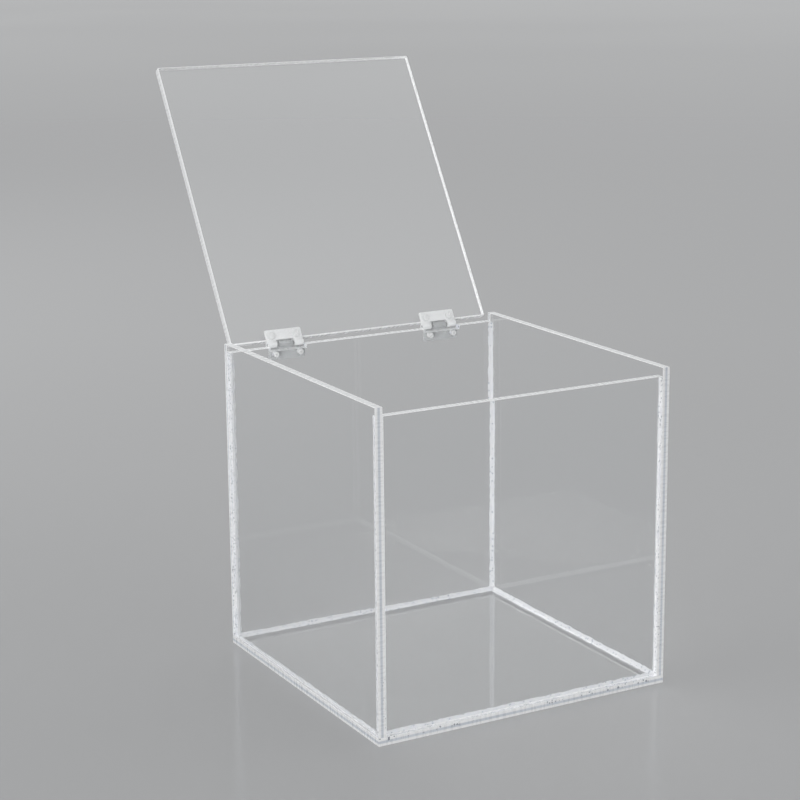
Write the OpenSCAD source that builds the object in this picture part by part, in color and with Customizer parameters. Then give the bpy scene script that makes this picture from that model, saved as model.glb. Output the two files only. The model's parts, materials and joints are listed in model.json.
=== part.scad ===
// Clear acrylic storage box with a flush hinged lid, drawn with the lid open.
// Origin: centre of the base's underside. +X is the right side, -Y the front, +Z up.

/* [Box] */
// Outside width, from side face to side face
box_w = 200; // [140:1:300]
// Outside depth, from front face to back face
box_d = 200; // [100:1:300]
// Outside height, from the base's underside to the tops of the side panels
box_h = 200; // [80:1:300]
// Thickness of the acrylic sheet that every panel is cut from
sheet_t = 5; // [4:0.5:8]

/* [Lid] */
// Gap between the lid's edge and each side panel
lid_side_gap = 0.5; // [0.3:0.1:1]
// Height of the closed lid's underside above the front and back panels
lid_seat_gap = 0.2; // [0.1:0.05:0.5]
// Distance of the closed lid's rear edge from the hinge barrels
lid_rear_gap = 0.6; // [0.4:0.05:1.5]
// Radius of the lid's four corners
lid_corner_r = 1.5; // [0.5:0.5:4]
// Angle from the closed lid to the open lid, where the hinge stops meet
lid_open_angle = 122; // [95:1:125]

/* [Hinges] */
// Width of each hinge along its pin
hinge_w = 25.4; // [22:0.2:32]
// Distance from the box's side face to the middle of the nearest hinge
hinge_inset = 43; // [25:1:55]
// Distance of the hinge axis behind the back panel's outer face
axis_behind = 1; // [0.8:0.1:1.4]
// Height of the hinge axis above the closed lid's underside
axis_rise = 0.25; // [0:0.05:0.5]
// Distance from the hinge axis to the far edge of each leaf
hinge_reach = 9.5; // [9:0.5:14]
// Thickness of each leaf
leaf_t = 1.5; // [1.2:0.1:2]
// Radius of each leaf's two far corners
leaf_corner_r = 0.8; // [0.4:0.1:1.5]
// Outside diameter of the hinge barrel
barrel_d = 4.4; // [4:0.1:5]
// Length of each of the lid leaf's two end knuckles
end_knuckle_w = 6.5; // [4.5:0.5:7]
// Running gap between the two leaves
knuckle_gap = 0.3; // [0.2:0.05:0.4]
// Length of the stop steps between neighbouring knuckles
stop_w = 1.5; // [1:0.1:2]
// Angle that the stop steps keep free at each end of the lid's travel
stop_free_angle = 1; // [0.5:0.5:2]
// Diameter of the hinge pin
pin_d = 2; // [1.6:0.1:2.4]
// Radial running clearance of the pin in its knuckles
pin_clear = 0.05; // [0.02:0.01:0.1]
// Distance of the pin's ends inside the ends of the barrel
pin_end_inset = 0.2; // [0.1:0.1:0.6]

/* [Rivets] */
// Diameter of a rivet's shank
rivet_d = 3.6; // [3:0.1:3.8]
// Radial clearance of the shank in the leaf and in the panel
rivet_clear = 0.05; // [0.02:0.01:0.1]
// Diameter of a rivet's head
rivet_head_d = 4.8; // [4.4:0.1:5.2]
// Thickness of a rivet's head
rivet_head_t = 0.9; // [0.6:0.1:1.2]
// Acrylic left between the lid's rear edge and the lid's rivet holes
lid_hole_wall = 0.65; // [0.5:0.05:2]
// Distance from each end of the leaf to the nearest rivet
rivet_inset = 3.95; // [3.3:0.05:5]
// Length of shank that stands out beyond the panel
rivet_proud = 0.3; // [0.1:0.1:1]
// Diameter of the small moulded dimple in a shank's end
dimple_d = 1.1; // [0.8:0.1:1.8]
// Depth of the dimple
dimple_depth = 1.2; // [0.5:0.1:2]
// Width of the bevel round a head and round a shank's end
rivet_bevel = 0.3; // [0.1:0.1:0.4]

/* [Notches] */
// Gap between each end of a hinge and its notch in the back panel
notch_side_gap = 0.2; // [0.1:0.1:1]
// Gap between the notch's floor and the lowest part of the closed hinge
notch_floor_gap = 0.5; // [0.3:0.1:1.5]

/* [Hidden] */

left = -1;
right = 1;
round_fn = 64;
cut = 1;

acrylic = [0.86, 0.93, 0.94, 0.35];
hinge_plastic = [0.90, 0.93, 0.93, 0.55];
rivet_plastic = [0.95, 0.96, 0.96, 0.75];

// The walls stand on the base, and the front and back fit between the sides
wall_h = box_h - sheet_t;
inner_w = box_w - 2 * sheet_t;
low_wall_h = wall_h - sheet_t - lid_seat_gap;

// The lid drops between the side panels, level with their tops
lid_w = inner_w - 2 * lid_side_gap;
lid_underside_z = box_h - sheet_t;
barrel_r = barrel_d / 2;
axis_y = box_d / 2 + axis_behind;
axis_z = lid_underside_z + axis_rise;
hinge_x = box_w / 2 - hinge_inset;
lid_rear_y = -barrel_r - lid_rear_gap;
lid_front_y = -box_d / 2 - axis_y;
lid_len = lid_rear_y - lid_front_y;

// Each hinge has two end knuckles on the lid leaf and one middle knuckle on the box leaf
middle_knuckle_w = hinge_w - 2 * end_knuckle_w - 2 * stop_w;
leaf_start = barrel_r + knuckle_gap;
pin_bore_d = pin_d + 2 * pin_clear;

// Length of the neck between a knuckle and the flat of its leaf, and how far it laps the flat
neck_lap = 0.5;
neck_len = leaf_start + neck_lap;

// Both leaves have their rivets at one distance from the axis, set by the lid's holes
rivet_hole_d = rivet_d + 2 * rivet_clear;
rivet_from_axis = -lid_rear_y + lid_hole_wall + rivet_hole_d / 2;
rivet_x = hinge_w / 2 - rivet_inset;

// The stop steps share the turn that the lid's travel leaves, half for each leaf
stop_angle = (360 - lid_open_angle - 2 * stop_free_angle) / 2;
box_stop_middle = 270;
lid_stop_middle = box_stop_middle - stop_angle - stop_free_angle;

// Height of the lid leaf's lower face from the axis, with the lid closed
lid_leaf_bottom = -axis_rise - leaf_t;

// The notch clears the barrel and the heads of the lid's rivets
notch_w = hinge_w + 2 * notch_side_gap;
notch_drop = max(barrel_r, rivet_head_t - lid_leaf_bottom) + notch_floor_gap;
notch_floor_z = axis_z - notch_drop;

// Draws a Y-Z outline and sweeps it along X
module sweep_x(length) {
    rotate([90, 0, 90]) linear_extrude(length) children();
}

// A round bar along X, centred on the hinge axis
module bar_x(d, length) {
    translate([-length / 2, 0, 0]) rotate([0, 90, 0]) cylinder(h = length, d = d, $fn = round_fn);
}

// A flat outline with round corners at its far end, reaching from near_y to far_y
module leaf_outline(near_y, far_y) {
    corner_y = far_y - leaf_corner_r;
    corner_x = hinge_w / 2 - leaf_corner_r;
    translate([-hinge_w / 2, near_y]) square([hinge_w, corner_y - near_y]);
    translate([-corner_x, near_y]) square([2 * corner_x, far_y - near_y]);
    for (side = [left, right]) {
        translate([side * corner_x, corner_y]) circle(r = leaf_corner_r, $fn = round_fn);
    }
}

// The two rivet holes of a leaf, drawn along its own length
module leaf_holes() {
    for (side = [left, right]) {
        translate([side * rivet_x, rivet_from_axis]) circle(d = rivet_hole_d, $fn = round_fn);
    }
}

// A flat leaf with its rivet holes, from the barrel to its far edge
module leaf_plate() {
    linear_extrude(leaf_t) difference() {
        leaf_outline(leaf_start, hinge_reach);
        leaf_holes();
    }
}

// A step on a knuckle's end: part of the barrel's ring, centred on the given angle
module stop_step(middle_angle, x_start, length) {
    wedge_r = 2 * barrel_d;
    translate([x_start, 0, 0]) sweep_x(length) intersection() {
        circle(r = barrel_r, $fn = round_fn);
        polygon([
            [0, 0],
            for (share = [-0.5, -0.25, 0, 0.25, 0.5])
                wedge_r * [
                    cos(middle_angle + share * stop_angle),
                    sin(middle_angle + share * stop_angle)
                ]
        ]);
    }
}

// Places a hinge's pieces at its end of the back panel, relative to the hinge axis
module at_hinge(side) {
    translate([side * hinge_x, axis_y, axis_z]) children();
}

// Turns what is drawn closed, relative to the hinge axis, to the open position
module lid_opened() {
    rotate([-lid_open_angle, 0, 0]) children();
}

// Leaf on the back panel's outer face, with the middle knuckle
module box_leaf() {
    step_x = middle_knuckle_w / 2;
    step_w = stop_w - knuckle_gap;
    difference() {
        union() {
            translate([0, -axis_behind, 0]) rotate([-90, 0, 0]) leaf_plate();
            translate([-step_x, -axis_behind, -neck_len]) cube([middle_knuckle_w, leaf_t, neck_len]);
            bar_x(barrel_d, middle_knuckle_w);
            stop_step(box_stop_middle, -step_x - step_w, step_w);
            stop_step(box_stop_middle, step_x, step_w);
        }
        bar_x(pin_bore_d, hinge_w + 2 * cut);
    }
}

// Leaf on the lid's underside, drawn closed, with the two end knuckles
module lid_leaf() {
    knuckle_x = hinge_w / 2 - end_knuckle_w / 2;
    step_x = hinge_w / 2 - end_knuckle_w;
    step_w = stop_w - knuckle_gap;
    difference() {
        union() {
            translate([0, 0, -axis_rise]) rotate([180, 0, 0]) leaf_plate();
            for (side = [left, right]) {
                translate([side * knuckle_x, 0, 0]) {
                    bar_x(barrel_d, end_knuckle_w);
                    translate([-end_knuckle_w / 2, -neck_len, lid_leaf_bottom])
                        cube([end_knuckle_w, neck_len, leaf_t]);
                }
            }
            stop_step(lid_stop_middle, -step_x, step_w);
            stop_step(lid_stop_middle, step_x - step_w, step_w);
        }
        bar_x(pin_bore_d, hinge_w + 2 * cut);
    }
}

// Round pin through a hinge's three knuckles
module hinge_pin() {
    bar_x(pin_d, hinge_w - 2 * pin_end_inset);
}

// Rivet with its shank along +Z, from the leaf's face through leaf and panel
module rivet() {
    shank_len = leaf_t + sheet_t + rivet_proud;
    difference() {
        union() {
            translate([0, 0, -rivet_head_t])
                cylinder(h = rivet_bevel, d1 = rivet_head_d - 2 * rivet_bevel, d2 = rivet_head_d, $fn = round_fn);
            translate([0, 0, -rivet_head_t + rivet_bevel])
                cylinder(h = rivet_head_t - rivet_bevel, d = rivet_head_d, $fn = round_fn);
            cylinder(h = shank_len - rivet_bevel, d = rivet_d, $fn = round_fn);
            translate([0, 0, shank_len - rivet_bevel])
                cylinder(h = rivet_bevel, d1 = rivet_d, d2 = rivet_d - 2 * rivet_bevel, $fn = round_fn);
        }
        translate([0, 0, shank_len - dimple_depth])
            cylinder(h = dimple_depth + cut, d = dimple_d, $fn = round_fn);
    }
}

// Rivet through the box leaf and the back panel, head outside
module box_rivet(side, end) {
    color(rivet_plastic) at_hinge(side)
        translate([end * rivet_x, leaf_t - axis_behind, -rivet_from_axis]) rotate([90, 0, 0]) rivet();
}

// Rivet through the lid leaf and the lid, head on the leaf
module lid_rivet(side, end) {
    color(rivet_plastic) at_hinge(side) lid_opened()
        translate([end * rivet_x, -rivet_from_axis, lid_leaf_bottom]) rivet();
}

// Base under all four walls
module base_panel() {
    color(acrylic) translate([-box_w / 2, -box_d / 2, 0]) cube([box_w, box_d, sheet_t]);
}

// Full-depth side wall, standing on the base
module side_panel(side) {
    translate([side * (box_w - sheet_t) / 2 - sheet_t / 2, -box_d / 2, sheet_t])
        cube([sheet_t, box_d, wall_h]);
}

module left_side_panel() {
    color(acrylic) side_panel(left);
}

module right_side_panel() {
    color(acrylic) side_panel(right);
}

// Low wall between the side panels, which leaves room for the lid above it
module low_panel() {
    translate([-inner_w / 2, 0, sheet_t]) cube([inner_w, sheet_t, low_wall_h]);
}

module front_panel() {
    color(acrylic) translate([0, -box_d / 2, 0]) low_panel();
}

// Back wall with a notch and two rivet holes for each hinge
module back_panel() {
    rivet_z = axis_z - rivet_from_axis;
    color(acrylic) difference() {
        translate([0, box_d / 2 - sheet_t, 0]) low_panel();
        for (side = [left, right]) {
            translate([side * hinge_x - notch_w / 2, box_d / 2 - sheet_t - cut, notch_floor_z])
                cube([notch_w, sheet_t + 2 * cut, notch_drop + cut]);
            for (end = [left, right]) {
                translate([side * hinge_x + end * rivet_x, box_d / 2 + cut, rivet_z]) rotate([90, 0, 0])
                    cylinder(h = sheet_t + 2 * cut, d = rivet_hole_d, $fn = round_fn);
            }
        }
    }
}

// Flat lid outline with round corners, relative to the hinge axis
module lid_outline() {
    corner_x = lid_w / 2 - lid_corner_r;
    translate([-lid_w / 2, lid_front_y + lid_corner_r]) square([lid_w, lid_len - 2 * lid_corner_r]);
    translate([-corner_x, lid_front_y]) square([2 * corner_x, lid_len]);
    for (side = [left, right], y = [lid_front_y + lid_corner_r, lid_rear_y - lid_corner_r]) {
        translate([side * corner_x, y]) circle(r = lid_corner_r, $fn = round_fn);
    }
}

module lid_panel() {
    color(acrylic) translate([0, axis_y, axis_z]) lid_opened() translate([0, 0, -axis_rise])
        linear_extrude(sheet_t) difference() {
            lid_outline();
            for (side = [left, right]) {
                translate([side * hinge_x, 0]) mirror([0, 1]) leaf_holes();
            }
        }
}

module left_hinge_box_leaf() {
    color(hinge_plastic) at_hinge(left) box_leaf();
}

module left_hinge_lid_leaf() {
    color(hinge_plastic) at_hinge(left) lid_opened() lid_leaf();
}

module left_hinge_pin() {
    color(hinge_plastic) at_hinge(left) hinge_pin();
}

module right_hinge_box_leaf() {
    color(hinge_plastic) at_hinge(right) box_leaf();
}

module right_hinge_lid_leaf() {
    color(hinge_plastic) at_hinge(right) lid_opened() lid_leaf();
}

module right_hinge_pin() {
    color(hinge_plastic) at_hinge(right) hinge_pin();
}

module left_hinge_box_rivet_1() {
    box_rivet(left, left);
}

module left_hinge_box_rivet_2() {
    box_rivet(left, right);
}

module left_hinge_lid_rivet_1() {
    lid_rivet(left, left);
}

module left_hinge_lid_rivet_2() {
    lid_rivet(left, right);
}

module right_hinge_box_rivet_1() {
    box_rivet(right, left);
}

module right_hinge_box_rivet_2() {
    box_rivet(right, right);
}

module right_hinge_lid_rivet_1() {
    lid_rivet(right, left);
}

module right_hinge_lid_rivet_2() {
    lid_rivet(right, right);
}

base_panel();
left_side_panel();
right_side_panel();
front_panel();
back_panel();
lid_panel();
left_hinge_box_leaf();
left_hinge_lid_leaf();
left_hinge_pin();
right_hinge_box_leaf();
right_hinge_lid_leaf();
right_hinge_pin();
left_hinge_box_rivet_1();
left_hinge_box_rivet_2();
left_hinge_lid_rivet_1();
left_hinge_lid_rivet_2();
right_hinge_box_rivet_1();
right_hinge_box_rivet_2();
right_hinge_lid_rivet_1();
right_hinge_lid_rivet_2();
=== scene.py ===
import json
import math
import random

import bmesh
import bpy
from mathutils import Matrix, Vector


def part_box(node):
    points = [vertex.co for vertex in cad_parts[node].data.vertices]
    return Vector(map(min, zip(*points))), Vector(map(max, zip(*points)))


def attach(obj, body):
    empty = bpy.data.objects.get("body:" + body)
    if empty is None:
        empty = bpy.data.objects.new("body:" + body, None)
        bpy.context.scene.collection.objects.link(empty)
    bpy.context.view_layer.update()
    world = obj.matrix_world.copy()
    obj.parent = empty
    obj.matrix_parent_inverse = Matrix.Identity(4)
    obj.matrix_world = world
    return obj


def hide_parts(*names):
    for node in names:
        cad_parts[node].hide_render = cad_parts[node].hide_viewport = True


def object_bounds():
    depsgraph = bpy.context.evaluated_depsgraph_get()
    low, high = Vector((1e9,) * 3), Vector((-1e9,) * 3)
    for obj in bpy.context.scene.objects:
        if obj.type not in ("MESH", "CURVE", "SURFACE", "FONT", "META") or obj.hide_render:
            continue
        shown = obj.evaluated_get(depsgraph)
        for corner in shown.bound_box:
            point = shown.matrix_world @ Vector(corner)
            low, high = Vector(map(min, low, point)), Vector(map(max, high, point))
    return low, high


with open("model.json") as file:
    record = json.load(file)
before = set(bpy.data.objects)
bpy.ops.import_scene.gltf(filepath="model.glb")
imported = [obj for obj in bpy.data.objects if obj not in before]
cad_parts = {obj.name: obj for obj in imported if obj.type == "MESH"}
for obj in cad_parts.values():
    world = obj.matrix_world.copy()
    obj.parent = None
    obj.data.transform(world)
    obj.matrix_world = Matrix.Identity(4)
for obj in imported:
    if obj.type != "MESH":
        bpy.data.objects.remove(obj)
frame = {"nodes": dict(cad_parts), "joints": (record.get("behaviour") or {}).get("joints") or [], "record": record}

cad_low, cad_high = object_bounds()

# Camera
# The camera stands in front of the box and to its left, more than twice as high as the walls.
# It looks down on the box through a short telephoto lens, as for a catalogue picture.
mm = 0.001
camera_azimuth = math.radians(-28.971)
camera_elevation = math.radians(13.543)
camera_roll = math.radians(-0.525)
camera_place = Vector((-623.4, -1074.2, 470.8)) * mm
camera_data = bpy.data.cameras.new("camera")
camera_data.sensor_width = 36
camera_data.lens = 93.15
camera = bpy.data.objects.new("camera", camera_data)
camera_turn = (
    Matrix.Rotation(camera_azimuth, 4, "Z")
    @ Matrix.Rotation(math.radians(90) - camera_elevation, 4, "X")
    @ Matrix.Rotation(camera_roll, 4, "Z")
)
camera.matrix_world = Matrix.Translation(camera_place) @ camera_turn
scene = bpy.context.scene
scene.collection.objects.link(camera)
scene.camera = camera
scene.view_settings.view_transform = "Standard"

# Floor
# A wide, pale and slightly shiny table top carries the box. It runs on far past the picture, so
# that no horizon shows behind the lid.
floor_radius = 16
floor_sides = 128
floor_grey = 0.41
floor_tint = (1, 1.005, 1.015)
cloud_strength = 1.02
usual_low = 0.3
usual_high = 0.7


def new_finish(name):
    """Starts a finish: its material, its node tree and its one principled surface."""
    finish = bpy.data.materials.new(name)
    finish.use_nodes = True
    tree = finish.node_tree
    tree.nodes.clear()
    surface = tree.nodes.new("ShaderNodeBsdfPrincipled")
    output = tree.nodes.new("ShaderNodeOutputMaterial")
    tree.links.new(surface.outputs["BSDF"], output.inputs["Surface"])
    return finish, tree, surface


def where(tree, attribute=None):
    """The place on the piece: its own coordinates, or those that a mesh attribute holds."""
    if attribute is None:
        return tree.nodes.new("ShaderNodeTexCoord").outputs["Object"]
    reader = tree.nodes.new("ShaderNodeAttribute")
    reader.attribute_name = attribute
    return reader.outputs["Vector"]


def grain(tree, place, per_metre, detail=2):
    """Noise from 0 to 1, with so many grains per metre along each axis."""
    spread = tree.nodes.new("ShaderNodeMapping")
    spread.inputs["Scale"].default_value = per_metre
    noise = tree.nodes.new("ShaderNodeTexNoise")
    noise.inputs["Scale"].default_value = 1
    noise.inputs["Detail"].default_value = detail
    tree.links.new(place, spread.inputs["Vector"])
    tree.links.new(spread.outputs["Vector"], noise.inputs["Vector"])
    return noise.outputs[0]


def spread_over(tree, value, low, high, to_low, to_high):
    """Stretches a number from low..high to to_low..to_high, and holds it at the ends."""
    stretch = tree.nodes.new("ShaderNodeMapRange")
    stretch.interpolation_type = "SMOOTHSTEP"
    stretch.inputs["From Min"].default_value = low
    stretch.inputs["From Max"].default_value = high
    stretch.inputs["To Min"].default_value = to_low
    stretch.inputs["To Max"].default_value = to_high
    tree.links.new(value, stretch.inputs["Value"])
    return stretch.outputs["Result"]


def tint(tree, amount, first, second):
    """Goes from the first colour to the second as amount goes from 0 to 1."""
    mix = tree.nodes.new("ShaderNodeMix")
    mix.data_type = "RGBA"
    tree.links.new(amount, mix.inputs[0])
    for socket, colour in ((mix.inputs[6], first), (mix.inputs[7], second)):
        if isinstance(colour, tuple):
            socket.default_value = (*colour, 1)
        else:
            tree.links.new(colour, socket)
    return mix.outputs[2]


def paint(tree, surface, colour):
    """Gives the surface the colour that the nodes make."""
    tree.links.new(colour, surface.inputs["Base Color"])


def roughen(tree, surface, noise, smoothest, roughest):
    """Makes the surface smoother and rougher by a noise, over the range where most of it lies."""
    roughness = spread_over(tree, noise, usual_low, usual_high, smoothest, roughest)
    tree.links.new(roughness, surface.inputs["Roughness"])


def relief(tree, surface, height, depth):
    """Raises and sinks the surface by up to depth, in metres, where height goes from 0 to 1."""
    bump = tree.nodes.new("ShaderNodeBump")
    bump.inputs["Strength"].default_value = 1
    bump.inputs["Distance"].default_value = depth
    tree.links.new(height, bump.inputs["Height"])
    tree.links.new(bump.outputs["Normal"], surface.inputs["Normal"])


def new_piece(name, mesh, finishes):
    """Makes an object of a mesh and gives it its finishes, in the order of their slots."""
    piece = bpy.data.objects.new(name, mesh)
    scene.collection.objects.link(piece)
    for finish in finishes:
        mesh.materials.append(finish)
    return piece


floor_finish, tree, surface = new_finish("table top")
clouds = grain(tree, where(tree), (0.5, 0.5, 0.5), detail=1)
pale_grey = tuple(floor_grey * share for share in floor_tint)
paler_grey = tuple(cloud_strength * value for value in pale_grey)
paint(tree, surface, tint(tree, clouds, pale_grey, paler_grey))
roughen(tree, surface, clouds, smoothest=0.1, roughest=0.13)

work = bmesh.new()
bmesh.ops.create_circle(work, cap_ends=True, radius=floor_radius, segments=floor_sides)
floor_mesh = bpy.data.meshes.new("floor")
work.to_mesh(floor_mesh)
work.free()
new_piece("floor", floor_mesh, [floor_finish])

# Studio light
# A low soft lamp in front, a very wide one to the right and one behind light the box, and a pale
# surround fills the shadows. Together they light a level surface at a little under full strength.
surround = bpy.data.worlds.new("surround")
scene.world = surround
surround.use_nodes = True
surround_light = surround.node_tree.nodes["Background"]
surround_light.inputs["Color"].default_value = (0.55, 0.555, 0.56, 1)
surround_light.inputs["Strength"].default_value = 1


def soft_lamp(name, place, width, height, power):
    """Hangs a flat lamp that faces the middle of the box."""
    lamp = bpy.data.lights.new(name, "AREA")
    lamp.shape = "RECTANGLE"
    lamp.size = width
    lamp.size_y = height
    lamp.energy = power
    holder = bpy.data.objects.new(name, lamp)
    holder.location = place
    holder.visible_camera = False
    aim = (cad_low + cad_high) / 2
    holder.rotation_euler = (aim - Vector(place)).to_track_quat("-Z", "Y").to_euler()
    scene.collection.objects.link(holder)
    return holder


front_lamp = soft_lamp("front_lamp", (-1.9, -1.6, 0.45), width=2.6, height=0.8, power=27)
# Mirrored in the shiny floor, so low a lamp would be a white patch in the views from behind.
front_lamp.visible_glossy = False
soft_lamp("right_lamp", (1.05, -1.15, 1.9), width=2.4, height=2.4, power=7.5)
soft_lamp("rear_lamp", (-0.4, 1.7, 1.5), width=1.2, height=0.8, power=12.5)

# Base panel
# The lowest piece is a square of clear cast acrylic under all four walls, so its four edges show
# all round. It is sawn to size, and the edges are then scraped, polished and eased.
acrylic_ior = 1.49
arris = 0.3 * mm
glue_line = 0.03 * mm
merge_distance = 0.002 * mm
cut_tolerance = 0.0001 * mm
flat_step = 30
flat_tilts = (-60, -30, 0, 30, 60)
face_relief = 0.04 * mm
saw_relief = 0.005 * mm
edge_clearness = 0.05
# Sheet edges carry a painted highlight along each arris: their colour turns lighter beside the faces.
painted_highlight_from = 0.45
painted_arris_highlight = (0.945, 0.95, 0.955)
largest_bubble = 0.45
bubble_dark = (0.28, 0.3, 0.34)
bubbly_height = 30 * mm
sparse_height = 85 * mm
base_low, base_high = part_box("base_panel")
sheet_thickness = base_high.z - base_low.z
body_of = {}
for body, nodes in frame["record"]["behaviour"]["bodies"].items():
    for node in nodes:
        body_of[node] = body


def new_plastic(name, clearness, ior=acrylic_ior):
    """Starts the finish of a clear plastic. clearness is the share of light that enters it."""
    finish, tree, surface = new_finish(name)
    surface.inputs["IOR"].default_value = ior
    surface.inputs["Transmission Weight"].default_value = clearness
    return finish, tree, surface


def let_lamps_through(tree, surface):
    """Lets lamp light straight through the finish, as clear acrylic does."""
    light_path = tree.nodes.new("ShaderNodeLightPath")
    clear = tree.nodes.new("ShaderNodeBsdfTransparent")
    choice = tree.nodes.new("ShaderNodeMixShader")
    tree.links.new(light_path.outputs["Is Shadow Ray"], choice.inputs[0])
    tree.links.new(surface.outputs["BSDF"], choice.inputs[1])
    tree.links.new(clear.outputs["BSDF"], choice.inputs[2])
    tree.links.new(choice.outputs["Shader"], tree.nodes["Material Output"].inputs["Surface"])


def through_thickness(tree, place):
    """The place through the sheet's thickness, in metres from its middle."""
    split = tree.nodes.new("ShaderNodeSeparateXYZ")
    tree.links.new(place, split.inputs["Vector"])
    return split.outputs["Z"]


def combine(tree, operation, first, second):
    """Joins two numbers by one step of arithmetic."""
    step = tree.nodes.new("ShaderNodeMath")
    step.operation = operation
    tree.links.new(first, step.inputs[0])
    tree.links.new(second, step.inputs[1])
    return step.outputs["Value"]


def bubbles(tree, place, spacing, share):
    """Round bubbles about spacing apart: 1 inside one, 0 outside. share is how many cells of
    the pattern hold a bubble. The largest has a radius of largest_bubble times the spacing."""
    cells = tree.nodes.new("ShaderNodeTexVoronoi")
    cells.inputs["Scale"].default_value = 1 / spacing
    tree.links.new(place, cells.inputs["Vector"])
    split = tree.nodes.new("ShaderNodeSeparateColor")
    tree.links.new(cells.outputs["Color"], split.inputs["Color"])
    radius = spread_over(tree, split.outputs["Red"], 1 - share, 1, 0, largest_bubble)
    return combine(tree, "LESS_THAN", cells.outputs["Distance"], radius)


def new_edge(name, dull_middle, bright_middle):
    """Starts the finish of a sawn and polished edge. It is greyer along the middle and brightens over
    painted_highlight_from of the way to a face into a painted highlight along the arris beside each face."""
    finish, tree, surface = new_plastic(name, edge_clearness)
    place = where(tree, "on_sheet")
    saw_marks = grain(tree, place, (420, 420, 60))
    streaks = grain(tree, place, (18, 18, 200))
    depth = through_thickness(tree, place)
    depth_squared = combine(tree, "MULTIPLY", depth, depth)
    painted_highlight_squared = (painted_highlight_from * sheet_thickness / 2) ** 2
    # Painted highlight: the colour turns lighter beside each face, where light would catch the arris.
    arris_highlight_share = spread_over(tree, depth_squared, 0, painted_highlight_squared, 0, 1)
    middle_colour = tint(tree, streaks, dull_middle, bright_middle)
    colour = tint(tree, arris_highlight_share, middle_colour, painted_arris_highlight)
    roughen(tree, surface, saw_marks, smoothest=0.2, roughest=0.38)
    relief(tree, surface, saw_marks, saw_relief)
    let_lamps_through(tree, surface)
    return finish, tree, surface, place, colour


polished_face, tree, surface = new_plastic("polished acrylic face", clearness=1)
surface.inputs["Base Color"].default_value = (0.994, 0.998, 1, 1)
place = where(tree, "on_sheet")
smudges = grain(tree, place, (16, 11, 0), detail=3)
smudge_roughness = spread_over(tree, smudges, low=0.45, high=0.75, to_low=0, to_high=0.03)
tree.links.new(smudge_roughness, surface.inputs["Roughness"])
waviness = grain(tree, place, (14, 10, 0), detail=1)
relief(tree, surface, waviness, face_relief)
let_lamps_through(tree, surface)

polished_edge, tree, surface, place, colour = new_edge(
    "polished acrylic edge", (0.87, 0.89, 0.9), (0.94, 0.95, 0.955)
)
paint(tree, surface, colour)

jointed_edge, tree, surface, place, colour = new_edge(
    "acrylic edge beside a joint", (0.46, 0.5, 0.57), (0.82, 0.85, 0.88)
)
joint_side = spread_over(
    tree, through_thickness(tree, place), low=0.1 * mm, high=0.5 * mm, to_low=0, to_high=1
)
height = tree.nodes.new("ShaderNodeSeparateXYZ")
tree.links.new(where(tree), height.inputs["Vector"])
low_down = spread_over(
    tree, height.outputs["Z"], bubbly_height, sparse_height, to_low=0.22, to_high=0
)
patches = combine(tree, "ADD", grain(tree, place, (13, 13, 0)), low_down)
cement_runs = spread_over(tree, patches, low=0.6, high=0.68, to_low=0, to_high=1)
pores = bubbles(tree, place, spacing=1.9 * mm, share=0.9)
seen_pores = combine(tree, "MULTIPLY", pores, combine(tree, "MULTIPLY", joint_side, cement_runs))
paint(tree, surface, tint(tree, seen_pores, colour, bubble_dark))
sheet_finishes = [polished_face, polished_edge, jointed_edge]


def drawn_solid(node):
    """Reads a node's drawing into a working mesh, with each flat side in as few faces as it can."""
    work = bmesh.new()
    work.from_mesh(frame["nodes"][node].data)
    bmesh.ops.remove_doubles(work, verts=work.verts, dist=merge_distance)
    bmesh.ops.dissolve_limit(
        work, angle_limit=math.radians(1), verts=work.verts, edges=work.edges
    )
    return work


def draw_back(work):
    """Draws the sheet back on all sides by the glue line, so that joined sheets don't touch."""
    same_side = 0.7
    moves = []
    for corner in work.verts:
        ways = []
        for face in corner.link_faces:
            if all(face.normal.dot(way) < same_side for way in ways):
                ways.append(face.normal.copy())
        moves.append(-glue_line * sum(ways, Vector()))
    for corner, move in zip(work.verts, moves):
        corner.co += move
    work.normal_update()


def plane_edges(work, middle, ways, ease, corner_radius):
    """Rounds the outer edges of a sheet: planes them off along flats that touch the rounding.
    The flats go round the sheet by flat_step degrees and lean across it by flat_tilts. ways
    holds the directions along, up and across the sheet."""
    along, up, across = ways
    half_length, half_height, half_thickness = (
        max((corner.co - middle).dot(way) for corner in work.verts) for way in ways
    )
    for turn in range(0, 360, flat_step):
        for tilt in flat_tilts:
            if tilt == 0 and turn % 90 == 0:
                continue
            share_along = math.cos(math.radians(turn))
            share_up = math.sin(math.radians(turn))
            share_flat = math.cos(math.radians(tilt))
            share_across = math.sin(math.radians(tilt))
            outward = share_flat * (share_along * along + share_up * up) + share_across * across
            reach = (
                share_flat * abs(share_along) * (half_length - corner_radius)
                + share_flat * abs(share_up) * (half_height - corner_radius)
                + share_flat * (corner_radius - ease)
                + abs(share_across) * (half_thickness - ease)
                + ease
            )
            planed = bmesh.ops.bisect_plane(
                work,
                geom=[*work.verts, *work.edges, *work.faces],
                dist=cut_tolerance,
                plane_co=middle + reach * outward,
                plane_no=outward,
                clear_outer=True,
            )
            rims = [part for part in planed["geom_cut"] if isinstance(part, bmesh.types.BMEdge)]
            bmesh.ops.edgeloop_fill(work, edges=rims)
    bmesh.ops.recalc_face_normals(work, faces=work.faces)


def finish_number(face, across, jointed, cemented):
    """Which of the sheet finishes a face takes, by the direction that it looks in."""
    facing = 0.9
    leaning = 0.6
    if abs(face.normal.dot(across)) > facing:
        return sheet_finishes.index(polished_face)
    if any(face.normal.dot(Vector(way)) > facing for way in cemented):
        return sheet_finishes.index(cemented_edge)
    if any(face.normal.dot(Vector(way)) > leaning for way in jointed):
        return sheet_finishes.index(jointed_edge)
    return sheet_finishes.index(polished_edge)


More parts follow.
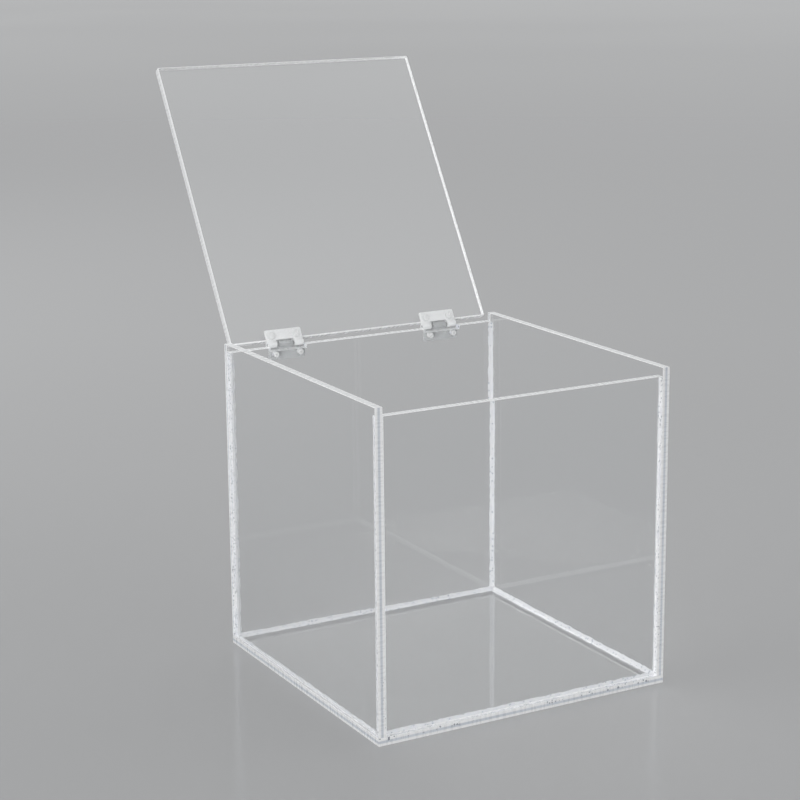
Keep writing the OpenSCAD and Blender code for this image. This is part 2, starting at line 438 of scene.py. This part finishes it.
def cut_sheet(node, across, jointed=(), cemented=(), ease=arris, corner_radius=arris):
    """Cuts one panel to the drawing of its node, with eased edges. across is the direction of
    its thickness, towards the inside of the box. jointed holds the directions of the edges
    that show a joint beside them, and cemented those of the edges stuck to a neighbour."""
    dead_flat = 0.9995
    across = Vector(across).normalized()
    along = Vector((1, 0, 0)) if abs(across.x) < 0.5 else Vector((0, 1, 0))
    up = across.cross(along)
    work = drawn_solid(node)
    draw_back(work)
    low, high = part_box(node)
    middle = (low + high) / 2
    plane_edges(work, middle, (along, up, across), ease, corner_radius)
    numbers = [finish_number(face, across, jointed, cemented) for face in work.faces]
    used = sorted(set(numbers))
    for face, number in zip(work.faces, numbers):
        straightness = max(abs(face.normal.dot(way)) for way in (across, along, up))
        face.smooth = straightness <= dead_flat
        face.material_index = used.index(number)
    mesh = bpy.data.meshes.new(node)
    work.to_mesh(mesh)
    work.free()
    on_sheet = mesh.attributes.new("on_sheet", "FLOAT_VECTOR", "POINT")
    for vertex, held in zip(mesh.vertices, on_sheet.data):
        offset = vertex.co - middle
        held.vector = (offset.dot(along), offset.dot(up), offset.dot(across))
    finishes = [sheet_finishes[number] for number in used]
    piece = new_piece(node.replace("_panel", "_sheet"), mesh, finishes)
    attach(piece, body_of[node])
    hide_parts(node)


right = (1, 0, 0)
left = (-1, 0, 0)
back = (0, 1, 0)
front = (0, -1, 0)
upward = (0, 0, 1)
downward = (0, 0, -1)
cut_sheet("base_panel", upward, jointed=(right, left, back, front))

# Side panels
# The two side panels are sheets of the same acrylic, as deep as the base and the tallest of the
# walls. Their lower edges are stuck down with solvent cement, which traps small bubbles.
cemented_edge, tree, surface = new_plastic("cemented acrylic edge", edge_clearness)
place = where(tree, "on_sheet")
patches = grain(tree, place, (35, 35, 60))
pores = bubbles(tree, place, spacing=1.3 * mm, share=0.55)
cement_colour = tint(tree, patches, (0.76, 0.78, 0.88), (0.9, 0.9, 0.85))
paint(tree, surface, tint(tree, pores, cement_colour, (0.3, 0.33, 0.36)))
roughen(tree, surface, patches, smoothest=0.15, roughest=0.4)
relief(tree, surface, pores, depth=0.05 * mm)
let_lamps_through(tree, surface)
sheet_finishes.append(cemented_edge)

cut_sheet("left_side_panel", right, jointed=(front, back), cemented=(downward,))
cut_sheet("right_side_panel", left, jointed=(front, back), cemented=(downward,))

# Front and back panels
# They stand between the side panels and are one sheet's thickness lower, which leaves the lid its
# seat. Both ends and the lower edge are cemented. The back one has a notch for each hinge.
cut_sheet("front_panel", back, cemented=(downward, right, left))
cut_sheet("back_panel", front, cemented=(downward, right, left))

# Cement
# Solvent cement runs along every joint and leaves a small hollow bead in each inside corner. The
# bead is whitish, glossy and full of tiny bubbles, and its width wavers where more cement ran in.
cement_ior = 1.45
front_bead = 1.1 * mm
rear_bead = 2.4 * mm
level_bead = 2.5 * mm
bead_step = 2.5 * mm
bead_hollow = 0.3
bead_thinnest = 0.85
bead_waver = 0.3
bead_seed = 7
front_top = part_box("front_panel")[1]
back_low, back_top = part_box("back_panel")
inner_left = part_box("left_side_panel")[1].x
inner_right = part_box("right_side_panel")[0].x
inner_front = front_top.y
inner_back = back_low.y
floor_of_box = base_high.z

cement, tree, surface = new_plastic("dried cement", clearness=0.15, ior=cement_ior)
place = where(tree)
runs = grain(tree, place, (180, 180, 180))
specks = bubbles(tree, place, spacing=1.6 * mm, share=0.5)
cement_colour = tint(tree, runs, (0.7, 0.72, 0.77), (0.84, 0.84, 0.83))
paint(tree, surface, tint(tree, specks, cement_colour, (0.5, 0.53, 0.58)))
roughen(tree, surface, runs, smoothest=0.05, roughest=0.2)
blisters = bubbles(tree, place, spacing=1.1 * mm, share=0.4)
relief(tree, surface, blisters, depth=0.02 * mm)
let_lamps_through(tree, surface)


def run_bead(work, start, end, first_face, second_face, usual_width, chance):
    """Runs a bead along a corner. The two faces it wets lie along the directions given."""
    start = Vector(start)
    end = Vector(end)
    first = Vector(first_face)
    second = Vector(second_face)
    lift = (first + second) * glue_line
    hollow = (first + second) * bead_hollow
    outline = (Vector(), first, hollow, second)
    steps = round((end - start).length / bead_step)
    rings = []
    for step in range(steps + 1):
        width = usual_width * (bead_thinnest + bead_waver * chance.random())
        centre = start.lerp(end, step / steps) + lift
        rings.append([work.verts.new(centre + width * point) for point in outline])
    for near, far in zip(rings, rings[1:]):
        for side in range(len(outline)):
            after = (side + 1) % len(outline)
            work.faces.new((near[side], near[after], far[after], far[side]))
    work.faces.new(rings[0])
    work.faces.new(rings[-1])


work = bmesh.new()
chance = random.Random(bead_seed)
for x, y, x_way, y_way, top, width in (
    (inner_left, inner_front, 1, 1, front_top.z, front_bead),
    (inner_right, inner_front, -1, 1, front_top.z, front_bead),
    (inner_left, inner_back, 1, -1, back_top.z, rear_bead),
    (inner_right, inner_back, -1, -1, back_top.z, rear_bead),
):
    foot = (x, y, floor_of_box + level_bead)
    head = (x, y, top - arris)
    run_bead(work, foot, head, (x_way, 0, 0), (0, y_way, 0), width, chance)
for x, x_way in ((inner_left, 1), (inner_right, -1)):
    front_end = (x, inner_front + level_bead, floor_of_box)
    back_end = (x, inner_back - level_bead, floor_of_box)
    run_bead(work, front_end, back_end, (x_way, 0, 0), (0, 0, 1), level_bead, chance)
for y, y_way in ((inner_front, 1), (inner_back, -1)):
    left_end = (inner_left + glue_line, y, floor_of_box)
    right_end = (inner_right - glue_line, y, floor_of_box)
    run_bead(work, left_end, right_end, (0, y_way, 0), (0, 0, 1), level_bead, chance)
bmesh.ops.recalc_face_normals(work, faces=work.faces)
cement_mesh = bpy.data.meshes.new("cement_beads")
work.to_mesh(cement_mesh)
work.free()
beads = new_piece("cement_beads", cement_mesh, [cement])
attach(beads, "box")

# Lid panel
# The lid is one more sheet of the same acrylic with rounded corners and well rounded edges. It lies
# between the side panels when shut, and here it leans back past upright on its hinges.
lid_ease = 1.1 * mm
lid_corner_radius = 1.5 * mm
lid_open_angle = math.radians(frame["joints"][0]["range_deg"][1])
lid_across = Matrix.Rotation(-lid_open_angle, 3, "X") @ Vector(upward)
cut_sheet("lid_panel", lid_across, ease=lid_ease, corner_radius=lid_corner_radius)

# Hinge leaves
# Each hinge is two moulded plastic leaves with interlocking knuckles. The lower leaf is clear and
# riveted to the back panel's outer face. The upper one is frosted and riveted to the lid.
leaf_ease = 0.15 * mm
sharp_angle = math.radians(40)


def moulded_plastic(name, clearness, dull, bright):
    """Moulding plastic with faint flow lines and a fine mould texture."""
    finish, tree, surface = new_plastic(name, clearness)
    place = where(tree)
    flow_lines = grain(tree, place, (160, 500, 500), detail=3)
    fine_texture = grain(tree, place, (2500, 2500, 2500))
    paint(tree, surface, tint(tree, flow_lines, dull, bright))
    roughen(tree, surface, fine_texture, smoothest=0.14, roughest=0.3)
    relief(tree, surface, fine_texture, depth=0.01 * mm)
    return finish


def mould(node, ease, finish):
    """Makes a small moulded piece to the drawing of its node, with rounded edges."""
    work = drawn_solid(node)
    for face in work.faces:
        face.smooth = True
    mesh = bpy.data.meshes.new(node)
    work.to_mesh(mesh)
    work.free()
    piece = new_piece(node + "_moulding", mesh, [finish])
    rounding = piece.modifiers.new("rounded edges", "BEVEL")
    rounding.width = ease
    rounding.segments = 2
    rounding.limit_method = "ANGLE"
    rounding.angle_limit = sharp_angle
    rounding.harden_normals = True
    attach(piece, body_of[node])
    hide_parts(node)


leaf_finishes = {
    "box_leaf": moulded_plastic(
        "clear leaf", clearness=0.5, dull=(0.68, 0.7, 0.71), bright=(0.82, 0.83, 0.84)
    ),
    "lid_leaf": moulded_plastic(
        "frosted leaf", clearness=0.15, dull=(0.92, 0.935, 0.94), bright=(0.97, 0.975, 0.98)
    ),
}
for side in ("left", "right"):
    for leaf, finish in leaf_finishes.items():
        mould(f"{side}_hinge_{leaf}", leaf_ease, finish)

# Hinge pins
# A drawn clear rod runs through the three knuckles of each hinge. Its ends are cut square, eased
# and left just short of the end knuckles.
pin_ease = 0.12 * mm
clear_rod, tree, surface = new_plastic("clear drawn rod", clearness=0.6)
draw_lines = grain(tree, where(tree), (40, 1800, 1800))
paint(tree, surface, tint(tree, draw_lines, (0.88, 0.9, 0.91), (0.97, 0.975, 0.98)))
roughen(tree, surface, draw_lines, smoothest=0.06, roughest=0.18)
for side in ("left", "right"):
    mould(f"{side}_hinge_pin", pin_ease, clear_rod)

# Rivets
# Two moulded rivets hold each leaf. Each has a round head on the leaf and a shank through leaf and
# panel, and its far end stands a little proud with a moulding dimple in the middle.
rivet_ease = 0.12 * mm
milky_plastic, tree, surface = new_plastic("milky moulded plastic", clearness=0.2)
specks = grain(tree, where(tree), (1200, 1200, 1200), detail=3)
paint(tree, surface, tint(tree, specks, (0.88, 0.9, 0.9), (0.98, 0.985, 0.985)))
roughen(tree, surface, specks, smoothest=0.15, roughest=0.3)
relief(tree, surface, specks, depth=0.008 * mm)
for side in ("left", "right"):
    for leaf in ("box", "lid"):
        for number in (1, 2):
            rivet = f"{side}_hinge_{leaf}_rivet_{number}"
            mould(rivet, rivet_ease, milky_plastic)
